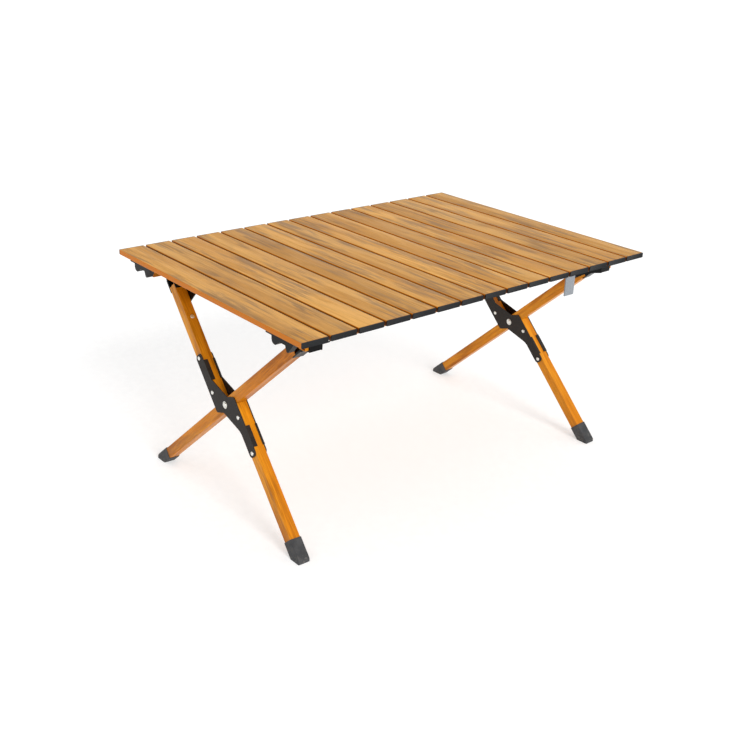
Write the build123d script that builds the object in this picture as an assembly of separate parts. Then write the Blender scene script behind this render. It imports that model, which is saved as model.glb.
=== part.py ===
from build123d import *
import math
import os

# Folding picnic table: a roll-up slatted top that rests on a folding cross-legged frame.
# Millimetres. Origin on the floor under the middle of the tabletop, +Z up,
# +X along the table (across the slats), +Y along the slats, towards the back.

# Tabletop
TABLE_HEIGHT = 450.0
SLAT_COUNT = 15
SLAT_LENGTH = 600.0
SLAT_WIDTH = 52.5
SLAT_GAP = 5.5
SLAT_THICKNESS = 10.0
SLAT_WALL = 1.1
SLAT_RIB = 1.0
SLAT_CORNER = 0.8
CAP_FLANGE = 2.0
CAP_PLUG_LENGTH = 12.0
CAP_PLUG_GAP = 0.15

# Elastic cords that string the slats together
CORD_RADIUS = 1.6
CORD_HOLE_GAP = 0.5
CORD_END_INSET = 45.0

# Hook clips under the two outermost slats
CLIP_THICKNESS = 12.0
CLIP_EDGE_INSET = 1.2
CLIP_REACH = 228.5
CLIP_SHIFT = -14.5
CLIP_FLANGE = 3.0
CLIP_LIP_LENGTH = 16.5
CLIP_KNOB_RADIUS = 8.5
CLIP_KNOB_DROP = 17.0
CLIP_ROOF_DROP = 8.5
CLIP_THROAT = 20.5
CLIP_TOE_DROP = 19.5
CLIP_TOE_STEP = 4.0
CLIP_TOE_TIP = 4.0
CLIP_TOE_LENGTH = 24.0

# Webbing tab that hangs from the front edge
TAB_SLAT = 12
TAB_WIDTH = 26.0
TAB_DROP = 38.0
TAB_THICKNESS = 2.4
TAB_INSET = 1.0
TAB_OVERHANG = 10.0
TAB_GAP = 0.3

# Leg frames
FRAME_SHIFT = 9.75
FRAME_HALF_SPAN = 384.25
SPLAY = 3.0
CROSS_HEIGHT = 216.7
PIVOT_DROP = 45.4
PIVOT_REACH = 211.6
LEG_TUBE = 22.0
LEG_WALL = 1.2
LEG_CORNER = 1.6
LEG_OFFSET = 26.5
LEG_PLAY = 0.3
ABUT_GAP = 0.5

# Cross plates on both sides of the cranked legs
PLATE_THICKNESS = 1.6
PLATE_ARM = 116.0
PLATE_END_RADIUS = 8.0
PLATE_FLARE_START = 62.0
PLATE_FLARE_RADIUS = 30.0
PLATE_HUB_STEP = 10.0
PLATE_HUB_RADIUS = 6.0
PLATE_TAB_START = 58.0
PLATE_TAB_END = 100.0
PLATE_OUTER_TAB = 7.5
PLATE_INNER_TAB = 2.5
RIVET_FAR = 108.7
RIVET_NEAR = 36.7

# Rivets and pins
RIVET_RADIUS = 2.0
RIVET_HEAD_RADIUS = 4.0
RIVET_HEAD_HEIGHT = 1.6
BRACE_RIVET_PLACE = 191.0
CROSS_PIN_RADIUS = 3.0
CROSS_HEAD_RADIUS = 5.4
CROSS_WASHER_RADIUS = 7.0
CROSS_WASHER_THICKNESS = 0.8
TOP_PIN_RADIUS = 2.5
TOP_PIN_STICK = 5.0
RUNNING_GAP = 0.05

# Channel fittings on the upper ends of the legs
END_START = 17.0
END_LAP = 10.0
END_LAP_WALL = 1.6
END_WEB = 3.0
END_FLANGE = 2.0
END_PLUG_GAP = 0.5

# Feet
FOOT_LENGTH = 40.5
FOOT_WALL = 1.2
FOOT_POCKET = 14.0
FOOT_OVERRUN = 8.0
FOOT_TOE_SHARE = 0.37
FOOT_HEEL_SHARE = 0.53
FOOT_CORNER = 1.1

# Rails, pegs and the brackets that hold them
RAIL = 14.0
RAIL_WALL = 1.2
RAIL_CORNER = 1.5
RAIL_OUT = 24.4
RAIL_UP = 14.4
PEG = 18.0
PEG_UP = 10.7
PEG_REACH_BACK = 34.5
PEG_REACH_FRONT = 20.0
PEG_SEAT = 14.0
BRACKET_WALL = 2.0
BRACKET_PLAY = 0.3
BRACKET_SEAT_GAP = 1.3
CHEEK_LENGTH = 58.0
CHEEK_PROUD = 26.0
RAIL_SIDE_PLAY = 0.4
RAIL_EAR_WALL = 2.6
RAIL_PIN_SETBACK = 13.5
RAIL_END_REACH = 8.0
MID_PIN_RISE = 4.2
MID_PIN_RADIUS = 1.8
MID_KNUCKLE_RADIUS = 3.7
MID_STRAP_THICKNESS = 2.0
MID_STRAP_LENGTH = 34.0
MID_GAP = 0.3
MID_FLANGE = 2.0
MID_PLUG_LENGTH = 18.0
MID_PLUG_GAP = 0.15
OPEN_PIVOT_GAP = 0.4

# Derived sizes
PITCH = SLAT_WIDTH + SLAT_GAP
TABLE_LENGTH = SLAT_COUNT * PITCH - SLAT_GAP
UNDERSIDE = TABLE_HEIGHT - SLAT_THICKNESS
PIVOT_HEIGHT = TABLE_HEIGHT - PIVOT_DROP
TILT = math.cos(math.radians(SPLAY))
PIVOT_RISE = (PIVOT_HEIGHT - CROSS_HEIGHT) / TILT
GROUND_DROP = CROSS_HEIGHT / TILT
PIVOT_DISTANCE = math.hypot(PIVOT_REACH, PIVOT_RISE)
SLOPE = math.degrees(math.atan2(PIVOT_RISE, PIVOT_REACH))
CRANK = math.degrees(math.asin(LEG_OFFSET / PIVOT_DISTANCE))
SLOPE_A = SLOPE + CRANK
SLOPE_B = SLOPE
TUBE_B = LEG_TUBE - 2 * LEG_PLAY
PLATE_EDGE = LEG_OFFSET + LEG_TUBE / 2
PLATE_INNER_EDGE = LEG_OFFSET - LEG_TUBE / 2
CLIP_BACK = CLIP_THROAT / 2 + 2 * CLIP_KNOB_RADIUS + CLIP_LIP_LENGTH
RAIL_Y = PIVOT_REACH + RAIL_OUT
RAIL_Z = PIVOT_HEIGHT + RAIL_UP
PEG_Z = PIVOT_HEIGHT + PEG_UP
BRACKET_HALF = LEG_TUBE / 2 + BRACKET_PLAY + BRACKET_WALL


def save(name, shape):
    """Write one named piece, labelled with its own name."""
    shape.label = name
    export_step(shape, "parts/" + name + ".step")


def prism(points, start, end):
    """Closed outline of (y, z) points, extruded along X from start to end."""
    wire = Wire.make_polygon([Vector(start, y, z) for y, z in points], close=True)
    return extrude(Face(wire), amount=end - start, dir=(1, 0, 0))


def bar(x0, x1, y0, y1, z0, z1):
    """Plain block between three pairs of planes."""
    centre = ((x0 + x1) / 2, (y0 + y1) / 2, (z0 + z1) / 2)
    return Pos(*centre) * Box(x1 - x0, y1 - y0, z1 - z0)


def rod_x(radius, x0, x1, y=0.0, z=0.0):
    """Round rod along X."""
    return Pos((x0 + x1) / 2, y, z) * Rot(0, 90, 0) * Cylinder(radius, x1 - x0)


def rod_y(radius, y0, y1, x=0.0, z=0.0):
    """Round rod along Y."""
    return Pos(x, (y0 + y1) / 2, z) * Rot(90, 0, 0) * Cylinder(radius, y1 - y0)


def square_tube(side_x, side_y, wall, corner, start, end):
    """Rounded rectangular tube along Z."""
    outer = RectangleRounded(side_x, side_y, corner)
    bore = RectangleRounded(side_x - 2 * wall, side_y - 2 * wall, max(corner - wall, 0.3))
    return Pos(0, 0, start) * extrude(outer - bore, end - start)


def domed_head(radius, height):
    """Rivet head that stands on the XY plane, with a rounded rim."""
    head = Pos(0, 0, height / 2) * Cylinder(radius, height)
    return fillet(head.edges().sort_by(Axis.Z)[-1], height * 0.7)


def rivet_x(shank, head_radius, head_height, reach, y, z):
    """Rivet along X, with a domed head at each end of its grip."""
    head = domed_head(head_radius, head_height)
    solid = rod_x(shank, -reach, reach)
    solid += Pos(reach, 0, 0) * Rot(0, 90, 0) * head
    solid += Pos(-reach, 0, 0) * Rot(0, -90, 0) * head
    return Pos(0, y, z) * solid


def slat_x(index):
    """Middle of a slat, counted from 1 at the left end."""
    return -TABLE_LENGTH / 2 + SLAT_WIDTH / 2 + (index - 1) * PITCH


def place_frame(shape, side):
    """Put a piece drawn about the leg crossing on the left (-1) or right (1) leg frame."""
    spot = Location((FRAME_SHIFT + side * FRAME_HALF_SPAN, 0, CROSS_HEIGHT), (0, -side * SPLAY, 0))
    return spot * shape


def along_a(shape):
    """Lay a piece drawn along Z onto cranked leg A, which rises to the back."""
    return Rot(SLOPE_A - 90, 0, 0) * shape


def along_b(shape):
    """Lay a piece drawn along Z onto straight leg B, which rises to the front."""
    return Rot(90 - SLOPE_B, 0, 0) * shape


def pivot_x(side):
    """X of a leg frame's own plane at the height of the top pivots."""
    return FRAME_SHIFT + side * (FRAME_HALF_SPAN - PIVOT_RISE * math.sin(math.radians(SPLAY)))


# ---------------------------------------------------------------- tabletop

def slat_profile_cells():
    """Middle and width of the three hollow cells of a slat."""
    inner = SLAT_WIDTH - 2 * SLAT_WALL
    cell = (inner - 2 * SLAT_RIB) / 3
    return [(step * (cell + SLAT_RIB), cell) for step in (-1, 0, 1)]


def slat_extrusion():
    """Hollow aluminium slat with two ribs and the holes for both cords."""
    length = SLAT_LENGTH - 2 * CAP_FLANGE
    body = Box(SLAT_WIDTH, length, SLAT_THICKNESS)
    body = fillet(body.edges().filter_by(Axis.Y), SLAT_CORNER)
    for middle, cell in slat_profile_cells():
        body -= Pos(middle, 0, 0) * Box(cell, length, SLAT_THICKNESS - 2 * SLAT_WALL)
    for cord in (-1, 1):
        body -= rod_x(CORD_RADIUS + CORD_HOLE_GAP, -SLAT_WIDTH, SLAT_WIDTH, cord * cord_y())
    return body


def slat_cap():
    """Moulded cap for the back end of a slat: a flange and three plugs."""
    flange = bar(-SLAT_WIDTH / 2, SLAT_WIDTH / 2, SLAT_LENGTH / 2 - CAP_FLANGE, SLAT_LENGTH / 2,
                 -SLAT_THICKNESS / 2, SLAT_THICKNESS / 2)
    flange = fillet(flange.edges().filter_by(Axis.Y), SLAT_CORNER)
    plug_half = SLAT_THICKNESS / 2 - SLAT_WALL - CAP_PLUG_GAP
    plug_start = SLAT_LENGTH / 2 - CAP_FLANGE - CAP_PLUG_LENGTH
    for middle, cell in slat_profile_cells():
        half = cell / 2 - CAP_PLUG_GAP
        flange += bar(middle - half, middle + half, plug_start, SLAT_LENGTH / 2 - CAP_FLANGE,
                      -plug_half, plug_half)
    return flange


def cord_y():
    """Distance of each cord from the middle of the table."""
    return SLAT_LENGTH / 2 - CORD_END_INSET


def slats():
    """Every slat: its extrusion with a cap in each end."""
    extrusion = slat_extrusion()
    cap = slat_cap()
    for index in range(1, SLAT_COUNT + 1):
        spot = Pos(slat_x(index), 0, TABLE_HEIGHT - SLAT_THICKNESS / 2)
        pieces = [spot * extrusion, spot * cap, spot * Rot(0, 0, 180) * cap]
        save("slat_%02d" % index, Compound(children=pieces))


def slat_cords():
    """The two elastic cords, from the first slat's middle to the last one's."""
    height = TABLE_HEIGHT - SLAT_THICKNESS / 2
    cords = [rod_x(CORD_RADIUS, slat_x(1), slat_x(SLAT_COUNT), side * cord_y(), height)
             for side in (-1, 1)]
    save("slat_cords", Compound(children=cords))


def clip_profile(start):
    """Hook clip outline from its lip, at start: flange, round knob, shallow throat, pointed toe."""
    knob_back = start - CLIP_LIP_LENGTH
    knob_front = knob_back - 2 * CLIP_KNOB_RADIUS
    throat_front = knob_front - CLIP_THROAT
    tip = throat_front - CLIP_TOE_STEP
    roof = UNDERSIDE - CLIP_ROOF_DROP
    knob_low = UNDERSIDE - CLIP_KNOB_DROP
    toe_low = UNDERSIDE - CLIP_TOE_DROP
    clip = bar(0, CLIP_THICKNESS, knob_back, start, UNDERSIDE - CLIP_FLANGE, UNDERSIDE)
    knob_z = knob_low + CLIP_KNOB_RADIUS
    clip += rod_x(CLIP_KNOB_RADIUS, 0, CLIP_THICKNESS, knob_back - CLIP_KNOB_RADIUS, knob_z)
    clip += bar(0, CLIP_THICKNESS, throat_front, knob_back, knob_z, UNDERSIDE)
    clip += prism([(knob_front + CLIP_KNOB_RADIUS, knob_low), (knob_front - CLIP_THROAT / 3, roof),
                   (knob_front + CLIP_KNOB_RADIUS, roof)], 0, CLIP_THICKNESS)
    clip += prism([(throat_front, UNDERSIDE), (throat_front, roof), (tip, toe_low + 1),
                   (tip - CLIP_TOE_TIP, toe_low), (throat_front - CLIP_TOE_LENGTH, UNDERSIDE)],
                  0, CLIP_THICKNESS)
    return clip


def clips():
    """A front and a back hook clip under the first and the last slat."""
    reach = TABLE_LENGTH / 2 - CLIP_EDGE_INSET
    for name, start in (("left", -reach), ("right", reach - CLIP_THICKNESS)):
        pair = [Pos(start, 0, 0) * clip_profile(side * CLIP_REACH + CLIP_SHIFT + CLIP_BACK)
                for side in (-1, 1)]
        save("hook_clips_" + name, Compound(children=pair))


def webbing_tab():
    """Flat webbing tab sewn under one slat, behind its front cap."""
    front = -SLAT_LENGTH / 2 + TAB_INSET
    back = front + TAB_THICKNESS
    seam = slat_x(TAB_SLAT) - SLAT_WIDTH / 2
    left = seam - TAB_OVERHANG
    right = left + TAB_WIDTH
    tab = bar(left, right, front, back, UNDERSIDE - TAB_DROP, UNDERSIDE - TAB_GAP)
    tab += bar(seam, right, front, back, UNDERSIDE - TAB_DROP / 2, UNDERSIDE)
    save("webbing_tab", tab)


# ---------------------------------------------------------------- leg frames

def leg_a_tubes(side, name):
    """The two offset tubes of the cranked leg, cut square beside leg B."""
    skew = math.tan(math.radians(abs(90 - SLOPE_A - SLOPE_B)))
    start = TUBE_B / 2 + PLATE_EDGE * skew + ABUT_GAP
    pivot = PIVOT_DISTANCE * math.cos(math.radians(CRANK))
    upper = square_tube(LEG_TUBE, LEG_TUBE, LEG_WALL, LEG_CORNER, start, pivot - END_START)
    for place in (RIVET_NEAR, RIVET_FAR):
        upper -= rod_x(RIVET_RADIUS, -LEG_TUBE, LEG_TUBE, 0, place)
    upper -= rod_y(RIVET_RADIUS, -LEG_TUBE, LEG_TUBE, 0, BRACE_RIVET_PLACE)
    lower = square_tube(LEG_TUBE, LEG_TUBE, LEG_WALL, LEG_CORNER, rim_a() - FOOT_POCKET, -start)
    for place in (-RIVET_NEAR, -RIVET_FAR):
        lower -= rod_x(RIVET_RADIUS, -LEG_TUBE, LEG_TUBE, 0, place)
    save("leg_a_upper_tube_" + name, place_frame(along_a(Pos(0, LEG_OFFSET, 0) * upper), side))
    save("leg_a_lower_tube_" + name, place_frame(along_a(Pos(0, -LEG_OFFSET, 0) * lower), side))


def end_fitting(pivot, side):
    """Channel in line with a leg's end, open to the table's end, that carries the top pivot."""
    half = LEG_TUBE / 2
    start = pivot - END_START + END_PLUG_GAP
    outline = bar(-half, half, -half, half, start, pivot) + rod_x(half, -half, half, 0, pivot)
    cut = LEG_TUBE - END_WEB
    x0, x1 = span(-side * (half - END_WEB), side * (half - END_WEB + cut))
    hollow = bar(x0, x1, END_FLANGE - half, half - END_FLANGE, start - half, pivot + LEG_TUBE)
    fitting = outline - hollow
    for face in (-1, 1):
        y0, y1 = span(face * half, face * (half + END_LAP_WALL))
        fitting += bar(-half, half, y0, y1, pivot - END_START - END_LAP, pivot)
    return fitting - rod_x(TOP_PIN_RADIUS + RUNNING_GAP, -LEG_TUBE, LEG_TUBE, 0, pivot)


def end_fittings(side, name):
    """The channel fittings of both legs of a frame."""
    pivot = PIVOT_DISTANCE * math.cos(math.radians(CRANK))
    fitting = along_a(Pos(0, LEG_OFFSET, 0) * end_fitting(pivot, side))
    save("leg_a_end_fitting_" + name, place_frame(fitting, side))
    fitting = along_b(end_fitting(PIVOT_DISTANCE, side))
    save("leg_b_end_fitting_" + name, place_frame(fitting, side))


def leg_b_tube(side, name):
    """The straight leg, which runs between the plates."""
    start = rim_b() - FOOT_POCKET
    tube = square_tube(TUBE_B, LEG_TUBE, LEG_WALL, LEG_CORNER, start, PIVOT_DISTANCE - END_START)
    tube -= rod_x(CROSS_PIN_RADIUS + RUNNING_GAP, -LEG_TUBE, LEG_TUBE)
    save("leg_b_tube_" + name, place_frame(along_b(tube), side))


def rim_a():
    """Place of the foot's rim along leg A, below the crossing."""
    slope = math.radians(SLOPE_A)
    floor = -(GROUND_DROP + LEG_OFFSET * math.cos(slope)) / math.sin(slope)
    return floor + FOOT_LENGTH


def rim_b():
    """Place of the foot's rim along leg B, below the crossing."""
    return -GROUND_DROP / math.sin(math.radians(SLOPE_B)) + FOOT_LENGTH


def bottom_edge(shape, side):
    """The lowest edge along X, on the given Y side."""
    edges = shape.edges().filter_by(Axis.X).group_by(Axis.Z)[0].sort_by(Axis.Y)
    return edges[-1] if side > 0 else edges[0]


def foot(rim, width, outer):
    """Round-toed cap over a tube's end; outer is the Y side that faces away."""
    half = LEG_TUBE / 2 + FOOT_WALL
    toe = rim - FOOT_LENGTH - FOOT_OVERRUN
    shape = bar(-width / 2 - FOOT_WALL, width / 2 + FOOT_WALL, -half, half, toe, rim)
    shape = fillet(bottom_edge(shape, outer), 2 * half * FOOT_TOE_SHARE)
    shape = fillet(bottom_edge(shape, -outer), 2 * half * FOOT_HEEL_SHARE)
    shape = chamfer(shape.edges().filter_by(Axis.Z), FOOT_CORNER)
    pocket = bar(-width / 2, width / 2, -LEG_TUBE / 2, LEG_TUBE / 2, rim - FOOT_POCKET, rim)
    pocket = fillet(pocket.edges().filter_by(Axis.Z), LEG_CORNER)
    return shape - pocket


def feet(side, name):
    """The two feet of a leg frame, ground flat on the floor."""
    below = bar(-TABLE_LENGTH, TABLE_LENGTH, -SLAT_LENGTH, SLAT_LENGTH, -TABLE_HEIGHT, 0)
    front = along_a(Pos(0, -LEG_OFFSET, 0) * foot(rim_a(), LEG_TUBE, -1))
    back = along_b(foot(rim_b(), TUBE_B, 1))
    save("foot_front_" + name, place_frame(front, side) - below)
    save("foot_back_" + name, place_frame(back, side) - below)


def plate_outline():
    """Half of the cross plate as (across, along) points; the other half is its half turn."""
    return [(PLATE_EDGE, PLATE_ARM), (PLATE_INNER_EDGE, PLATE_ARM),
            (PLATE_INNER_EDGE, PLATE_FLARE_START), (-PLATE_INNER_EDGE, PLATE_HUB_STEP),
            (-PLATE_EDGE, 0.0)]


def cross_plate(face, tab):
    """Pressed plate on one side of leg A; face is -1 or 1 along X, tab the folded tabs' reach."""
    half = plate_outline()
    points = half + [(-y, -z) for y, z in half]
    inner = face * LEG_TUBE / 2
    outer = face * (LEG_TUBE / 2 + PLATE_THICKNESS)
    plate = prism(points, min(inner, outer), max(inner, outer))
    ends = [edge for edge in plate.edges().filter_by(Axis.X)
            if abs(edge.center().Z) > PLATE_ARM - PLATE_THICKNESS]
    plate = fillet(ends, PLATE_END_RADIUS)
    flares = [edge for edge in plate.edges().filter_by(Axis.X)
              if abs(abs(edge.center().Z) - PLATE_FLARE_START) < PLATE_THICKNESS]
    plate = fillet(flares, PLATE_FLARE_RADIUS)
    hubs = [edge for edge in plate.edges().filter_by(Axis.X)
            if abs(edge.center().Z) < PLATE_THICKNESS]
    plate = fillet(hubs, PLATE_HUB_RADIUS)
    reach = face * (LEG_TUBE / 2 - tab)
    left, right = min(reach, outer), max(reach, outer)
    for top, edge in ((PLATE_TAB_END, PLATE_INNER_EDGE), (-PLATE_TAB_START, -PLATE_EDGE)):
        plate += bar(left, right, edge - PLATE_THICKNESS, edge,
                     top - (PLATE_TAB_END - PLATE_TAB_START), top)
    for turn in (-1, 1):
        for place in (RIVET_NEAR, RIVET_FAR):
            plate -= rod_x(RIVET_RADIUS, -LEG_TUBE, LEG_TUBE, turn * LEG_OFFSET, turn * place)
    return plate - rod_x(CROSS_PIN_RADIUS, -LEG_TUBE, LEG_TUBE)


def leg_a_hardware(side, name):
    """Plates, rivets and the pivot pin that leg A carries at the crossing."""
    save("cross_plate_outer_" + name, place_frame(along_a(cross_plate(side, PLATE_OUTER_TAB)), side))
    save("cross_plate_inner_" + name, place_frame(along_a(cross_plate(-side, PLATE_INNER_TAB)), side))
    grip = LEG_TUBE / 2 + PLATE_THICKNESS
    rivets = [rivet_x(RIVET_RADIUS, RIVET_HEAD_RADIUS, RIVET_HEAD_HEIGHT, grip,
                      turn * LEG_OFFSET, turn * place)
              for turn in (-1, 1) for place in (RIVET_NEAR, RIVET_FAR)]
    brace = rivet_x(RIVET_RADIUS, RIVET_HEAD_RADIUS, RIVET_HEAD_HEIGHT, LEG_TUBE / 2, 0, 0)
    rivets.append(Pos(0, LEG_OFFSET, BRACE_RIVET_PLACE) * Rot(0, 0, 90) * brace)
    pieces = [place_frame(along_a(rivet), side) for rivet in rivets]
    reach = grip + CROSS_WASHER_THICKNESS
    pin = rivet_x(CROSS_PIN_RADIUS, CROSS_HEAD_RADIUS, RIVET_HEAD_HEIGHT, reach, 0, 0)
    washers = [rod_x(CROSS_WASHER_RADIUS, min(face * grip, face * reach),
                     max(face * grip, face * reach)) - rod_x(CROSS_PIN_RADIUS, -reach, reach)
               for face in (-1, 1)]
    pieces += [place_frame(piece, side) for piece in [pin] + washers]
    save("leg_a_fasteners_" + name, Compound(children=pieces))


# ---------------------------------------------------------------- brackets and rails

def rail_pin_x(side):
    """X of the pin that joins a rail to its bracket."""
    return pivot_x(side) - side * (BRACKET_HALF + RAIL_PIN_SETBACK)


def span(a, b):
    """A pair of values in rising order."""
    return (min(a, b), max(a, b))


def bracket(side, end):
    """Moulded bracket over a leg's end; side is -1 left or 1 right, end -1 front or 1 back."""
    peg_half = PEG / 2
    ear_half = RAIL / 2
    ear_reach = ear_half + RAIL_SIDE_PLAY
    block_in = RAIL_Y - peg_half - RAIL_EAR_WALL
    block_out = RAIL_Y + peg_half + RAIL_EAR_WALL
    block_low = PEG_Z - peg_half - RAIL_EAR_WALL
    top = UNDERSIDE - BRACKET_SEAT_GAP
    middle = pivot_x(side)
    radius = LEG_TUBE / 2
    rise = (top - PIVOT_HEIGHT) / TILT
    low = (block_low - PIVOT_HEIGHT) / TILT
    slope = math.radians(SLOPE_B)
    foot_u = -CHEEK_LENGTH * math.cos(slope)
    foot_w = -CHEEK_LENGTH * math.sin(slope)
    proud_u = -CHEEK_PROUD * math.sin(slope)
    proud_w = CHEEK_PROUD * math.cos(slope)
    outline = [(foot_u, foot_w), (foot_u + proud_u, foot_w + proud_w), (-CHEEK_PROUD, rise),
               (block_out - PIVOT_REACH, rise), (block_out - PIVOT_REACH, low), (0, -radius)]
    points = [(end * (PIVOT_REACH + u), PIVOT_RISE + w) for u, w in outline]
    start, stop = span(-side * (radius + BRACKET_PLAY), -side * BRACKET_HALF)
    cheek = prism(points, start, stop) + rod_x(radius, start, stop, end * PIVOT_REACH, PIVOT_RISE)
    body = place_frame(cheek, side)
    y0, y1 = span(end * block_in, end * block_out)
    body += bar(middle - BRACKET_HALF, middle + BRACKET_HALF, y0, y1, block_low, top)
    y0, y1 = span(end * (PIVOT_REACH - radius * 0.7), end * block_in)
    body += bar(middle - BRACKET_HALF, middle + BRACKET_HALF, y0, y1, top - RAIL_EAR_WALL, top)
    pin_x = rail_pin_x(side)
    for ear_in, ear_out in ((-ear_reach - RAIL_EAR_WALL, -ear_reach),
                            (ear_reach, ear_reach + RAIL_EAR_WALL)):
        y0, y1 = span(end * (RAIL_Y + ear_in), end * (RAIL_Y + ear_out))
        x0, x1 = span(middle - side * radius, pin_x)
        body += bar(x0, x1, y0, y1, RAIL_Z - ear_half, RAIL_Z + ear_half)
        body += rod_y(ear_half, y0, y1, pin_x, RAIL_Z)
    body -= rod_y(TOP_PIN_RADIUS, -SLAT_LENGTH, SLAT_LENGTH, pin_x, RAIL_Z)
    x0, x1 = span(peg_inner_x(side), peg_inner_x(side) + side * TABLE_LENGTH)
    body -= bar(x0, x1, end * RAIL_Y - peg_half, end * RAIL_Y + peg_half,
                PEG_Z - peg_half, PEG_Z + peg_half)
    hole = rod_x(TOP_PIN_RADIUS, -LEG_TUBE, LEG_TUBE, end * PIVOT_REACH, PIVOT_RISE)
    return body - place_frame(hole, side)


def peg_inner_x(side):
    """Inner end of the square peg that sits in a bracket's pocket."""
    return pivot_x(side) + side * (BRACKET_HALF - PEG_SEAT)


def rail_tube(size, x0, x1, end, height):
    """Square tube along X at the front (-1) or back (1)."""
    tube = square_tube(size, size, RAIL_WALL, RAIL_CORNER, 0, x1 - x0)
    return Pos(x0, end * RAIL_Y, height) * Rot(0, 90, 0) * tube


def bracket_set(side, end, name):
    """Bracket, its two pins and its peg at one corner of the frame."""
    save("top_bracket_" + name, bracket(side, end))
    grip = (BRACKET_HALF + TOP_PIN_STICK) / 2
    top_pin = rivet_x(TOP_PIN_RADIUS, RIVET_HEAD_RADIUS, RIVET_HEAD_HEIGHT, grip,
                      end * PIVOT_REACH, PIVOT_RISE)
    top_pin = place_frame(Pos(side * (TOP_PIN_STICK - grip), 0, 0) * top_pin, side)
    grip = RAIL / 2 + RAIL_SIDE_PLAY + RAIL_EAR_WALL
    rail_pin = rivet_x(TOP_PIN_RADIUS, RIVET_HEAD_RADIUS, RIVET_HEAD_HEIGHT, grip, 0, 0)
    rail_pin = Pos(rail_pin_x(side), end * RAIL_Y, RAIL_Z) * Rot(0, 0, 90) * rail_pin
    save("bracket_pins_" + name, Compound(children=[top_pin, rail_pin]))
    reach = PEG_REACH_BACK if end > 0 else PEG_REACH_FRONT
    x0, x1 = span(peg_inner_x(side), pivot_x(side) + side * reach)
    save("tabletop_peg_" + name, rail_tube(PEG, x0, x1, end, PEG_Z))


def rail_half(side, end, name):
    """Half of a folding rail, from its bracket pin to the hinge in the middle."""
    pin_x = rail_pin_x(side)
    mid_x = FRAME_SHIFT + side * (MID_GAP + MID_FLANGE)
    x0, x1 = span(pin_x + side * RAIL_END_REACH, mid_x)
    tube = rail_tube(RAIL, x0, x1, end, RAIL_Z)
    loose = side > 0 and end < 0
    gap = OPEN_PIVOT_GAP if loose else RUNNING_GAP
    tube -= rod_y(TOP_PIN_RADIUS + gap, -SLAT_LENGTH, SLAT_LENGTH, pin_x, RAIL_Z)
    save("rail_" + name, tube)


def hinge_leaf(side, end, name):
    """Moulded leaf in the middle end of a rail half, with knuckles over the rail."""
    half = RAIL / 2
    y = end * RAIL_Y
    face = FRAME_SHIFT + side * MID_GAP
    pin_z = RAIL_Z + half + MID_PIN_RISE
    plug = half - RAIL_WALL - MID_PLUG_GAP
    x0, x1 = span(face, face + side * MID_FLANGE)
    leaf = bar(x0, x1, y - half, y + half, RAIL_Z - half, RAIL_Z + half)
    x0, x1 = span(face, face + side * (MID_FLANGE + MID_PLUG_LENGTH))
    leaf += bar(x0, x1, y - plug, y + plug, RAIL_Z - plug, RAIL_Z + plug)
    clear = MID_KNUCKLE_RADIUS + MID_GAP + MID_GAP
    x0, x1 = span(FRAME_SHIFT + side * clear, FRAME_SHIFT + side * MID_STRAP_LENGTH)
    leaf += bar(x0, x1, y - half, y + half, RAIL_Z + half, RAIL_Z + half + MID_STRAP_THICKNESS)
    third = half / 3
    spans = [(-third, third)] if side > 0 else [(-half, -third - MID_GAP), (third + MID_GAP, half)]
    bore = MID_PIN_RADIUS + (RUNNING_GAP if side > 0 else 0)
    x0, x1 = span(face, FRAME_SHIFT + side * (clear + MID_GAP))
    for low, high in spans:
        leaf += bar(x0, x1, y + low, y + high, RAIL_Z + half, RAIL_Z + half + MID_STRAP_THICKNESS)
        leaf += rod_y(MID_KNUCKLE_RADIUS, y + low, y + high, FRAME_SHIFT, pin_z)
    leaf -= rod_y(bore, y - RAIL, y + RAIL, FRAME_SHIFT, pin_z)
    pieces = [leaf]
    if side < 0:
        pieces.append(rod_y(MID_PIN_RADIUS, y - half, y + half, FRAME_SHIFT, pin_z))
    save("rail_hinge_leaf_" + name, Compound(children=pieces))


def main():
    os.makedirs("parts", exist_ok=True)
    slats()
    slat_cords()
    clips()
    webbing_tab()
    for side, side_name in ((-1, "left"), (1, "right")):
        leg_a_tubes(side, side_name)
        leg_b_tube(side, side_name)
        feet(side, side_name)
        leg_a_hardware(side, side_name)
        end_fittings(side, side_name)
        for end, end_name in ((-1, "front"), (1, "back")):
            corner = end_name + "_" + side_name
            bracket_set(side, end, corner)
            rail_half(side, end, corner)
            hinge_leaf(side, end, corner)


main()
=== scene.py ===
import math

import bmesh
import bpy
from mathutils import Euler, Matrix, Vector


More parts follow.
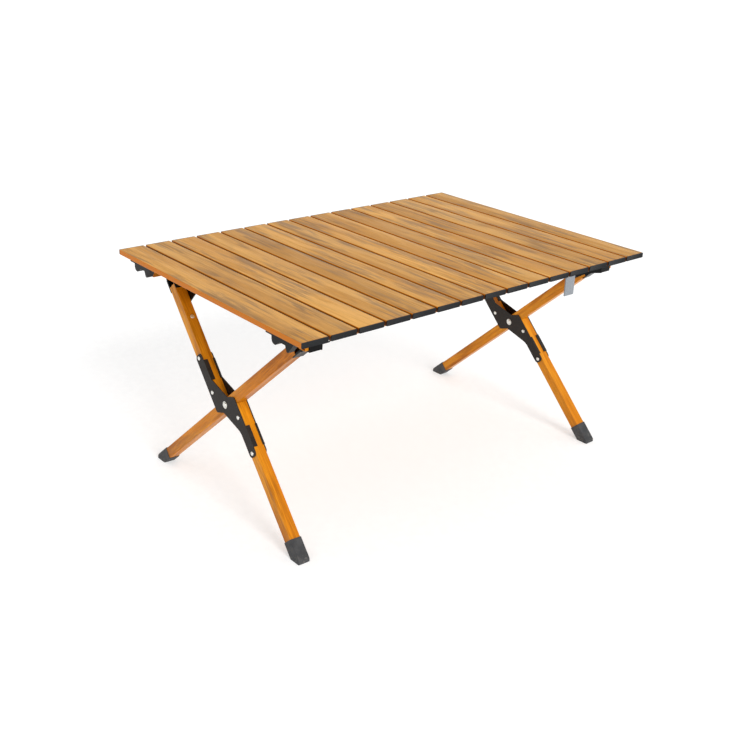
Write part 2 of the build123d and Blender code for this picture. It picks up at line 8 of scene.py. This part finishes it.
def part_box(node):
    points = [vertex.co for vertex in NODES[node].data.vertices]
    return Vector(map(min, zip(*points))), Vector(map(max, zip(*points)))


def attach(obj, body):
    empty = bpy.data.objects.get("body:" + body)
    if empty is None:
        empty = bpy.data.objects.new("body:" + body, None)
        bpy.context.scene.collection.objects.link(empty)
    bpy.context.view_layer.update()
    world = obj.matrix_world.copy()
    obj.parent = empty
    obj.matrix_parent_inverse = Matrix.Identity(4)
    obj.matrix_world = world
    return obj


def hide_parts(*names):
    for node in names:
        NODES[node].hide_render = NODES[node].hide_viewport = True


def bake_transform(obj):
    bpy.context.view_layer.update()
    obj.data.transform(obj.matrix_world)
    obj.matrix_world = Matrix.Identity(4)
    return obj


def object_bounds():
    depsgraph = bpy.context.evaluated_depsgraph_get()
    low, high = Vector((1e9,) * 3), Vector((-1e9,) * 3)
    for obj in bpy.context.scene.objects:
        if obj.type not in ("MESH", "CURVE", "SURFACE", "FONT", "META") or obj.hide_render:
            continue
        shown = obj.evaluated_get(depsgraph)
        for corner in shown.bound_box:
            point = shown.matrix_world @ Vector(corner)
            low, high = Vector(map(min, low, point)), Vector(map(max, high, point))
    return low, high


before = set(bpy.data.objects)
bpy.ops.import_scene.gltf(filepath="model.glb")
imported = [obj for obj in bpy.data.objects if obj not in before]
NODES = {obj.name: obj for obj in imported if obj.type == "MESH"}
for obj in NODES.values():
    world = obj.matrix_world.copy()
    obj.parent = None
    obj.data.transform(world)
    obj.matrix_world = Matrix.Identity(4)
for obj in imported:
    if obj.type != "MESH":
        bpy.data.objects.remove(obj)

CAD_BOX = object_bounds()
SIDES = ("left", "right")
ENDS = ("front", "back")
MM = 0.001


# ---------------------------------------------------------------- camera

CAMERA_PLACE = (-1.3251, -1.5094, 1.0565)
CAMERA_TURN = (66.384, -1.945, -39.976)
CAMERA_LENS = 50.07


def make_camera():
    """The one camera, at the height and angle of a person standing off the front left corner."""
    data = bpy.data.cameras.new("camera")
    data.lens = CAMERA_LENS
    data.sensor_width = 36.0
    camera = bpy.data.objects.new("camera", data)
    camera.location = CAMERA_PLACE
    camera.rotation_euler = Euler([math.radians(a) for a in CAMERA_TURN], "XYZ")
    bpy.context.scene.collection.objects.link(camera)
    bpy.context.scene.camera = camera


make_camera()


# ---------------------------------------------------------------- materials

class Graph:
    """A material's node tree with short calls for the nodes used here."""

    def __init__(self, name):
        self.material = bpy.data.materials.new(name)
        self.material.use_nodes = True
        self.tree = self.material.node_tree
        self.shader = self.tree.nodes["Principled BSDF"]

    def add(self, kind, **settings):
        node = self.tree.nodes.new("ShaderNode" + kind)
        for key, value in settings.items():
            setattr(node, key, value)
        return node

    def feed(self, node, socket, value):
        """Link an output to a socket, or set the socket's own value."""
        if isinstance(value, bpy.types.NodeSocket):
            self.tree.links.new(value, node.inputs[socket])
        else:
            node.inputs[socket].default_value = value

    def math(self, operation, a, b=0.0):
        node = self.add("Math", operation=operation)
        self.feed(node, 0, a)
        self.feed(node, 1, b)
        return node.outputs[0]

    def dot(self, a, b):
        node = self.add("VectorMath", operation="DOT_PRODUCT")
        self.feed(node, 0, a)
        self.feed(node, 1, b)
        return node.outputs["Value"]

    def combine(self, x, y, z):
        node = self.add("CombineXYZ")
        for socket, value in enumerate((x, y, z)):
            self.feed(node, socket, value)
        return node.outputs[0]

    def place(self):
        return self.add("TexCoord").outputs["Object"]

    def normal(self):
        return self.add("TexCoord").outputs["Normal"]

    def attribute(self, name):
        return self.add("Attribute", attribute_name=name).outputs["Fac"]

    def noise(self, where, scale, detail=3.0, rough=0.55, warp=0.0):
        node = self.add("TexNoise")
        self.feed(node, "Vector", where)
        self.feed(node, "Scale", scale)
        self.feed(node, "Detail", detail)
        self.feed(node, "Roughness", rough)
        self.feed(node, "Distortion", warp)
        return node.outputs["Fac"]

    def cells(self, where, scale):
        node = self.add("TexVoronoi")
        self.feed(node, "Vector", where)
        self.feed(node, "Scale", scale)
        return node.outputs["Distance"]

    def span(self, value, low, high, to_low=0.0, to_high=1.0):
        """Map low..high to to_low..to_high, smoothly and clamped."""
        node = self.add("MapRange", interpolation_type="SMOOTHSTEP")
        self.feed(node, "Value", value)
        self.feed(node, "From Min", low)
        self.feed(node, "From Max", high)
        self.feed(node, "To Min", to_low)
        self.feed(node, "To Max", to_high)
        return node.outputs["Result"]

    def mix(self, amount, a, b, blend="MIX"):
        """Mix two colours; a and b are outputs or linear RGB triples."""
        node = self.add("Mix", data_type="RGBA", blend_type=blend)
        self.feed(node, "Factor", amount)
        for socket, value in ((6, a), (7, b)):
            if not isinstance(value, bpy.types.NodeSocket):
                value = (*value, 1.0)
            self.feed(node, socket, value)
        return node.outputs[2]

    def bump(self, height, strength, depth):
        node = self.add("Bump")
        self.feed(node, "Height", height)
        self.feed(node, "Strength", strength)
        self.feed(node, "Distance", depth)
        self.feed(self.shader, "Normal", node.outputs[0])

    def finish(self, colour, roughness, **uniform):
        self.feed(self.shader, "Base Color", colour)
        self.feed(self.shader, "Roughness", roughness)
        for socket, value in uniform.items():
            self.shader.inputs[socket.replace("_", " ")].default_value = value
        return self.material


def linear(red, green, blue):
    """Linear colour of an 8-bit display colour."""
    parts = []
    for value in (red, green, blue):
        share = value / 255
        parts.append(share / 12.92 if share <= 0.04045 else ((share + 0.055) / 1.055) ** 2.4)
    return tuple(parts)


HONEY = linear(214, 158, 76)
TAN = linear(188, 132, 56)
UMBER = linear(118, 90, 62)
ORANGE = linear(194, 110, 6)
AMBER = linear(222, 148, 30)
COPPER = linear(194, 114, 4)
RUST = linear(140, 74, 0)
# Painted shade: the dark colour of slat sides down inside the gaps between slats
PAINTED_SHADE_DARK = linear(84, 42, 6)

# Depths below the top between which a slat's side turns from bright to painted shade inside the
# gaps
GAP_LIGHT = 1.3 * MM
GAP_SHADE = 2.9 * MM
# Margin in x that keeps the outer side of the first slat free of painted shade
END_FACE_MARGIN = 2.9 * MM

# Grain layers: scale along the grain, scale across it, and an offset into the noise
TONE_GRAIN = (1.7, 17.0)
FIGURE_GRAIN = (3.6, 52.0, 3.1)
STREAK_GRAIN = (7.0, 95.0, 9.7)
PATCH_GRAIN = (4.6, 24.0, 21.3)
FIBRE_GRAIN = (22.0, 900.0, 5.0)
PLANK_SHIFT = 7.3
FILM_BUMP = (0.25, 0.0002)
FILM_SHINE = 0.16
MOULD_GRAIN = 2600.0


def wood_print(name, along, light, middle, dark, streaks, seed=None, shift=0.0):
    """Wood-grain film over powder coat: long fibres, soft tone bands and a few darker streaks."""
    graph = Graph(name)
    along = Vector(along).normalized()
    side = Vector((0, 0, 1)).cross(along)
    side = (side if side.length > 0.1 else Vector((1, 0, 0))).normalized()
    other = along.cross(side)
    where = graph.place()
    length, breadth, depth = [graph.dot(where, tuple(axis))
                              for axis in (along, side, other)]
    offset = graph.math("MULTIPLY", graph.attribute(seed), PLANK_SHIFT) if seed else shift
    length = graph.math("ADD", length, offset)

    def stretched(run, cross, lift=0.0):
        return graph.combine(graph.math("MULTIPLY", length, run),
                             graph.math("MULTIPLY", breadth, cross),
                             graph.math("ADD", graph.math("MULTIPLY", depth, cross), lift))

    tone = graph.noise(stretched(*TONE_GRAIN), 1.0, 2.0, 0.5, 0.4)
    figure = graph.noise(stretched(*FIGURE_GRAIN), 1.0, 4.0, 0.62, 0.9)
    streak = graph.noise(stretched(*STREAK_GRAIN), 1.0, 4.0, 0.68, 0.6)
    place = graph.noise(stretched(*PATCH_GRAIN), 1.0, 2.0)
    fibre = graph.noise(stretched(*FIBRE_GRAIN), 1.0, 3.0, 0.7)
    colour = graph.mix(graph.span(tone, 0.34, 0.66), light, middle)
    colour = graph.mix(graph.span(figure, 0.46, 0.6, 0.0, 0.75), colour, middle)
    mask = graph.math("MULTIPLY", graph.span(streak, 0.42, 0.6), graph.span(place, 0.4, 0.58))
    colour = graph.mix(graph.math("MULTIPLY", mask, streaks), colour, dark)
    grey = graph.span(fibre, 0.3, 0.7, 0.8, 1.14)
    colour = graph.mix(1.0, colour, graph.combine(grey, grey, grey), "MULTIPLY")
    if seed:
        shade = graph.span(graph.attribute(seed), 0.0, 1.0, 0.9, 1.08)
        colour = graph.mix(1.0, colour, graph.combine(shade, shade, shade), "MULTIPLY")
    return graph, colour, fibre, figure


def slat_material():
    """Slat top film: honey planks that differ from one another, with more orange sides that carry
    painted shade down inside the gaps.
    """
    graph, colour, fibre, figure = wood_print("slat_wood_film", (0, 1, 0), HONEY, TAN, UMBER,
                                              0.66, seed="plank")
    up = graph.dot(graph.normal(), (0, 0, 1))
    flat = graph.span(graph.math("ABSOLUTE", up), 0.55, 0.95)
    spot = graph.add("SeparateXYZ")
    graph.feed(spot, 0, graph.place())
    # Painted shade: inside the gaps a slat's side turns from orange near the top to dark lower
    # down; the outer side of the first slat stays bright
    lit = graph.span(spot.outputs[2], CAD_BOX[1].z - GAP_SHADE, CAD_BOX[1].z - GAP_LIGHT)
    outside = graph.math("LESS_THAN", spot.outputs[0], CAD_BOX[0].x + END_FACE_MARGIN)
    side_with_painted_shade = graph.mix(graph.math("MAXIMUM", lit, outside), PAINTED_SHADE_DARK, ORANGE)
    colour = graph.mix(flat, side_with_painted_shade, colour)
    graph.bump(fibre, *FILM_BUMP)
    gloss = graph.span(figure, 0.3, 0.7, 0.36, 0.5)
    return graph.finish(colour, gloss, Specular_IOR_Level=FILM_SHINE)


def tube_material(name, along, shift):
    """Frame tube film: redder than the slats, grain along the tube."""
    graph, colour, fibre, figure = wood_print(name, along, AMBER, COPPER, RUST, 0.7, shift=shift)
    graph.bump(fibre, *FILM_BUMP)
    gloss = graph.span(figure, 0.3, 0.7, 0.3, 0.44)
    return graph.finish(colour, gloss, Specular_IOR_Level=FILM_SHINE)


def moulding_material(name, dark, light, roughness, shine):
    """Moulded plastic: fine spark-eroded skin, faint flow tones and handling sheen."""
    graph = Graph(name)
    where = graph.place()
    skin = graph.noise(where, MOULD_GRAIN, 2.0)
    flow = graph.noise(where, 34.0, 4.0, 0.6, 0.6)
    colour = graph.mix(graph.span(flow, 0.3, 0.7), dark, light)
    graph.bump(skin, 0.22, 0.00025)
    gloss = graph.span(flow, 0.25, 0.75, roughness - 0.06, roughness + 0.08)
    return graph.finish(colour, gloss, Specular_IOR_Level=shine)


def plate_material():
    """Pressed plate under fine-textured matte powder coat."""
    graph = Graph("plate_powder_coat")
    where = graph.place()
    orange_peel = graph.cells(where, 900.0)
    grit = graph.noise(where, 1700.0, 3.0)
    patch = graph.noise(where, 26.0, 4.0, 0.6)
    colour = graph.mix(graph.span(patch, 0.3, 0.7), linear(30, 26, 23), linear(42, 37, 33))
    colour = graph.mix(graph.span(grit, 0.55, 0.75, 0.0, 0.3), colour, linear(70, 63, 57))
    graph.bump(graph.math("ADD", orange_peel, grit), 0.35, 0.0003)
    gloss = graph.span(patch, 0.3, 0.7, 0.5, 0.64)
    return graph.finish(colour, gloss, Specular_IOR_Level=0.22)


def rubber_material():
    """Moulded rubber foot, scuffed and dusty towards the floor."""
    graph = Graph("foot_rubber")
    where = graph.place()
    split = graph.add("SeparateXYZ")
    graph.feed(split, 0, where)
    low = graph.span(split.outputs[2], 0.0, 0.03, 1.0, 0.0)
    scuff = graph.noise(where, 120.0, 5.0, 0.7, 1.2)
    mottle = graph.noise(where, 40.0, 3.0)
    colour = graph.mix(graph.span(mottle, 0.3, 0.7), linear(46, 47, 49), linear(66, 66, 67))
    dust = graph.math("MULTIPLY", low, graph.span(scuff, 0.5, 0.68, 0.0, 0.55))
    colour = graph.mix(dust, colour, linear(128, 124, 116))
    graph.bump(graph.noise(where, 1500.0, 3.0), 0.3, 0.0003)
    return graph.finish(colour, graph.span(scuff, 0.3, 0.7, 0.55, 0.78), Specular_IOR_Level=0.4)


def steel_material():
    """Zinc-plated steel of rivets and pins."""
    graph = Graph("zinc_plated_steel")
    where = graph.place()
    patch = graph.noise(where, 240.0, 4.0, 0.6)
    colour = graph.mix(graph.span(patch, 0.3, 0.7), linear(205, 203, 196), linear(236, 235, 230))
    graph.bump(graph.noise(where, 2100.0, 2.0), 0.12, 0.0002)
    return graph.finish(colour, graph.span(patch, 0.3, 0.7, 0.24, 0.4), Metallic=1.0)


def webbing_material():
    """Flat woven webbing: rows of yarn across and along."""
    graph = Graph("woven_webbing")
    where = graph.place()
    waves = []
    for direction, scale in (("X", 420.0), ("Z", 300.0)):
        wave = graph.add("TexWave", bands_direction=direction)
        graph.feed(wave, "Vector", where)
        graph.feed(wave, "Scale", scale)
        graph.feed(wave, "Distortion", 0.6)
        waves.append(wave.outputs["Fac"])
    weave = graph.math("MULTIPLY", waves[0], waves[1])
    colour = graph.mix(weave, linear(104, 110, 117), linear(160, 166, 173))
    fuzz = graph.noise(where, 900.0, 3.0)
    colour = graph.mix(graph.span(fuzz, 0.4, 0.7, 0.0, 0.3), colour, linear(186, 191, 196))
    graph.bump(weave, 0.7, 0.0005)
    return graph.finish(colour, 0.85, Sheen_Weight=0.4)


def cord_material():
    """Braided sleeve of the elastic cords."""
    graph = Graph("braided_cord")
    where = graph.place()
    braid = graph.add("TexWave", bands_direction="DIAGONAL")
    graph.feed(braid, "Vector", where)
    graph.feed(braid, "Scale", 520.0)
    colour = graph.mix(braid.outputs["Fac"], linear(24, 25, 27), linear(58, 60, 63))
    graph.bump(braid.outputs["Fac"], 0.6, 0.0003)
    return graph.finish(colour, 0.7, Sheen_Weight=0.2)


# ---------------------------------------------------------------- mesh helpers

RING_SIDES = 32
RIM_SHARE = 0.25
SMOOTH_ANGLE = 40.0

def mesh_object(name, work, material, body):
    """Turn a bmesh into a piece that rides on a body."""
    bmesh.ops.recalc_face_normals(work, faces=work.faces)
    mesh = bpy.data.meshes.new(name)
    work.to_mesh(mesh)
    work.free()
    mesh.materials.append(material)
    piece = bpy.data.objects.new(name, mesh)
    bpy.context.scene.collection.objects.link(piece)
    mesh.shade_smooth()
    mesh.set_sharp_from_angle(angle=math.radians(SMOOTH_ANGLE))
    if body:
        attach(piece, body)
    return piece


def add_block(work, low, high):
    """Plain block between two corners."""
    size = [b - a for a, b in zip(low, high)]
    middle = [(a + b) / 2 for a, b in zip(low, high)]
    spot = Matrix.Translation(middle) @ Matrix.Diagonal((*size, 1.0))
    return bmesh.ops.create_cube(work, size=1.0, matrix=spot)["verts"]


def edges_along(work, axis, verts):
    """Edges between the given vertices that run along one axis."""
    inside = set(verts)
    found = []
    for edge in work.edges:
        if edge.verts[0] in inside and edge.verts[1] in inside:
            run = edge.verts[1].co - edge.verts[0].co
            if abs(run[axis]) > 0.99 * run.length:
                found.append(edge)
    return found


def tag_piece(piece, name, value):
    """One value for the whole piece, which its material reads."""
    attribute = piece.data.attributes.new(name, "FLOAT", "POINT")
    attribute.data.foreach_set("value", [value] * len(piece.data.vertices))


def add_ring(work, middle, outer, inner, length):
    """Round sleeve along X with softened rims, as a closed shell."""
    soft = min(length, outer - inner) * RIM_SHARE
    half = length / 2
    profile = [(-half, inner), (-half, outer - soft), (-half + soft, outer),
               (half - soft, outer), (half, outer - soft), (half, inner)]
    rings = []
    for along, radius in profile:
        ring = []
        for step in range(RING_SIDES):
            turn = math.tau * step / RING_SIDES
            ring.append(work.verts.new((middle[0] + along, middle[1] + radius * math.cos(turn),
                                        middle[2] + radius * math.sin(turn))))
        rings.append(ring)
    for index, ring in enumerate(rings):
        after = rings[(index + 1) % len(rings)]
        for step in range(RING_SIDES):
            nxt = (step + 1) % RING_SIDES
            work.faces.new((ring[step], ring[nxt], after[nxt], after[step]))


# ---------------------------------------------------------------- tabletop

SLAT_COUNT = 15
SLAT_CORNER = 0.8 * MM
GOLDEN_STEP = 0.6180339
CAP_FLANGE = 2.0 * MM
CAP_RELIEF = 0.12 * MM
CAP_CORNER = 1.3 * SLAT_CORNER
CAP_RIM = 0.45 * MM
CAP_SLOPE = 0.9 * MM
CAP_DISH = 0.3 * MM
SHADOW_LINE = 0.25 * MM
CORD_RADIUS = 1.6 * MM
CORD_INSET = 45.0 * MM
CORD_TUCK = 7.0 * MM
CORD_STEPS = 12
CORD_SIDES = 16
SPACER_RADIUS = 3.6 * MM
SPACER_GAP = 0.25 * MM
SPACER_PLAY = 0.1 * MM


def slat_board(index, material):
    """One slat between its caps, with rounded long edges."""
    node = "slat_%02d" % index
    low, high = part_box(node)
    work = bmesh.new()
    inset = Vector((0, CAP_FLANGE, 0))
    verts = add_block(work, low + inset, high - inset)
    bmesh.ops.bevel(work, geom=edges_along(work, 1, verts), offset=SLAT_CORNER, segments=4,
                    profile=0.5, affect="EDGES")
    board = mesh_object(node + "_board", work, material, node + "_body")
    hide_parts(node)
    plank = (index * GOLDEN_STEP) % 1.0
    tag_piece(board, "plank", plank)


def slat_cap(index, end, material):
    """Moulded cap: a rounded flange over the slat's end, with a recessed centre panel."""
    node = "slat_%02d" % index
    low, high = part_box(node)
    way = -1 if end == "front" else 1
    face = low.y if way < 0 else high.y
    root = face - way * (CAP_FLANGE - SHADOW_LINE)
    work = bmesh.new()
    verts = add_block(work, (low.x + CAP_RELIEF, min(face, root), low.z + CAP_RELIEF),
                      (high.x - CAP_RELIEF, max(face, root), high.z - CAP_RELIEF))
    bmesh.ops.bevel(work, geom=edges_along(work, 1, verts), offset=CAP_CORNER, segments=3,
                    profile=0.5, affect="EDGES")
    work.normal_update()
    outer = [f for f in work.faces if f.normal.y * way > 0.9]
    bmesh.ops.inset_region(work, faces=outer, thickness=CAP_RIM)
    outer = [f for f in work.faces if f.normal.y * way > 0.9 and len(f.verts) > 4]
    bmesh.ops.inset_region(work, faces=outer, thickness=CAP_SLOPE, depth=-CAP_DISH)
    mesh_object("%s_cap_%s" % (node, end), work, material, node + "_body")


def gap_spacers(index, material):
    """The two rubber spacers on the cords between a slat and the next one."""
    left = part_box("slat_%02d" % index)
    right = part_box("slat_%02d" % (index + 1))
    work = bmesh.new()
    length = right[0].x - left[1].x - 2 * SPACER_GAP
    middle_x = (right[0].x + left[1].x) / 2
    middle_z = (left[0].z + left[1].z) / 2
    for y in (left[0].y + CORD_INSET, left[1].y - CORD_INSET):
        add_ring(work, (middle_x, y, middle_z), SPACER_RADIUS, CORD_RADIUS + SPACER_PLAY, length)
    pair = mesh_object("cord_spacers_%02d" % index, work, material, None)
    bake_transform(pair)


def cord_link(index, material):
    """The stretch of both elastic cords from inside one slat to inside the next."""
    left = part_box("slat_%02d" % index)
    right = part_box("slat_%02d" % (index + 1))
    start = left[1].x - CORD_TUCK
    stop = right[0].x + CORD_TUCK
    middle_z = (left[0].z + left[1].z) / 2
    work = bmesh.new()
    for y in (left[0].y + CORD_INSET, left[1].y - CORD_INSET):
        rings = []
        for step in range(CORD_STEPS + 1):
            x = start + (stop - start) * step / CORD_STEPS
            turns = [math.tau * k / CORD_SIDES for k in range(CORD_SIDES)]
            rings.append([work.verts.new((x, y + CORD_RADIUS * math.cos(turn),
                                          middle_z + CORD_RADIUS * math.sin(turn)))
                          for turn in turns])
        for ring, after in zip(rings, rings[1:]):
            for k in range(CORD_SIDES):
                nxt = (k + 1) % CORD_SIDES
                work.faces.new((ring[k], ring[nxt], after[nxt], after[k]))
        work.faces.new(rings[0])
        work.faces.new(rings[-1])
    link = mesh_object("cord_link_%02d" % index, work, material, None)
    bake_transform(link)
    return link


def tabletop():
    film = slat_material()
    black = moulding_material("cap_plastic", linear(16, 17, 19), linear(26, 28, 30), 0.42, 0.2)
    rubber = moulding_material("spacer_rubber", linear(18, 18, 19), linear(28, 28, 29), 0.6, 0.2)
    braid = cord_material()
    for index in range(1, SLAT_COUNT + 1):
        slat_board(index, film)
        for end in ENDS:
            slat_cap(index, end, black)
    for index in range(1, SLAT_COUNT):
        gap_spacers(index, rubber)
        link = cord_link(index, braid)
        if index == 1:
            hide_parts("slat_cords")


# ---------------------------------------------------------------- frame

# How far each tube's print is slid along it, so that no two tubes look alike
FIRST_SHIFT = 1.0
LEG_SHIFT = 2.7
RAIL_SHIFT = 1.9


def leg_direction(node, front_low):
    """Grain direction of a leg tube, from its box: front_low is True where the front end is low."""
    low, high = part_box(node)
    rise = high.z - low.z
    run = high.y - low.y
    return Vector((0, run if front_low else -run, rise)).normalized()


def paint(node, material):
    """Give a CAD node a finished material."""
    slots = NODES[node].data.materials
    slots.clear()
    slots.append(material)


def paint_frame():
    plate = plate_material()
    steel = steel_material()
    rubber = rubber_material()
    black = moulding_material("bracket_plastic", linear(5, 5, 6), linear(13, 13, 14), 0.32, 0.12)
    shift = FIRST_SHIFT
    for side in SIDES:
        for part, front_low in (("leg_a_upper_tube_", True), ("leg_a_lower_tube_", True),
                                ("leg_b_tube_", False)):
            node = part + side
            shift += LEG_SHIFT
            paint(node, tube_material(node + "_film", leg_direction(node, front_low), shift))
        for part in ("cross_plate_outer_", "cross_plate_inner_"):
            paint(part + side, plate)
        paint("leg_a_fasteners_" + side, steel)
        for part in ("leg_a_end_fitting_", "leg_b_end_fitting_"):
            paint(part + side, black)
        for part in ("foot_front_", "foot_back_"):
            paint(part + side, rubber)
        paint("hook_clips_" + side, black)
        for end in ENDS:
            corner = end + "_" + side
            shift += RAIL_SHIFT
            film = tube_material("rail_film_" + corner, (1, 0, 0), shift)
            paint("tabletop_peg_" + corner, film)
            paint("rail_" + corner, film)
            paint("top_bracket_" + corner, black)
            paint("rail_hinge_leaf_" + corner, black)
            paint("bracket_pins_" + corner, steel)
    paint("webbing_tab", webbing_material())


# ---------------------------------------------------------------- studio

FLOOR_HALF = 40.0
FLOOR_GLOW = 0.43
SKY = 0.83
KEY = 2.0
KEY_ANGLE = 22.0
KEY_FROM = Vector((-0.12, -1.0, 0.6))


def studio():
    """Plain pale floor, an even bright surround and one soft key light."""
    work = bmesh.new()
    corners = [(-FLOOR_HALF, -FLOOR_HALF), (FLOOR_HALF, -FLOOR_HALF),
               (FLOOR_HALF, FLOOR_HALF), (-FLOOR_HALF, FLOOR_HALF)]
    work.faces.new([work.verts.new((x, y, 0.0)) for x, y in corners])
    mesh = bpy.data.meshes.new("floor")
    work.to_mesh(mesh)
    work.free()
    floor = bpy.data.objects.new("floor", mesh)
    bpy.context.scene.collection.objects.link(floor)
    graph = Graph("floor_paper")
    grain = graph.noise(graph.place(), 60.0, 3.0)
    colour = graph.mix(graph.span(grain, 0.3, 0.7), linear(202, 202, 202), linear(208, 208, 208))
    graph.feed(graph.shader, "Emission Color", (1.0, 1.0, 1.0, 1.0))
    mesh.materials.append(graph.finish(colour, 0.95, Specular_IOR_Level=0.0,
                                       Emission_Strength=FLOOR_GLOW))
    world = bpy.data.worlds.new("surround")
    world.use_nodes = True
    world.node_tree.nodes["Background"].inputs[0].default_value = (1, 1, 1, 1)
    world.node_tree.nodes["Background"].inputs[1].default_value = SKY
    bpy.context.scene.world = world
    light = bpy.data.lights.new("key", "SUN")
    light.energy = KEY
    light.angle = math.radians(KEY_ANGLE)
    key = bpy.data.objects.new("key", light)
    key.rotation_mode = "QUATERNION"
    key.rotation_quaternion = KEY_FROM.to_track_quat("Z", "Y")
    bpy.context.scene.collection.objects.link(key)
    bpy.context.scene.view_settings.view_transform = "Standard"


tabletop()
paint_frame()
studio()
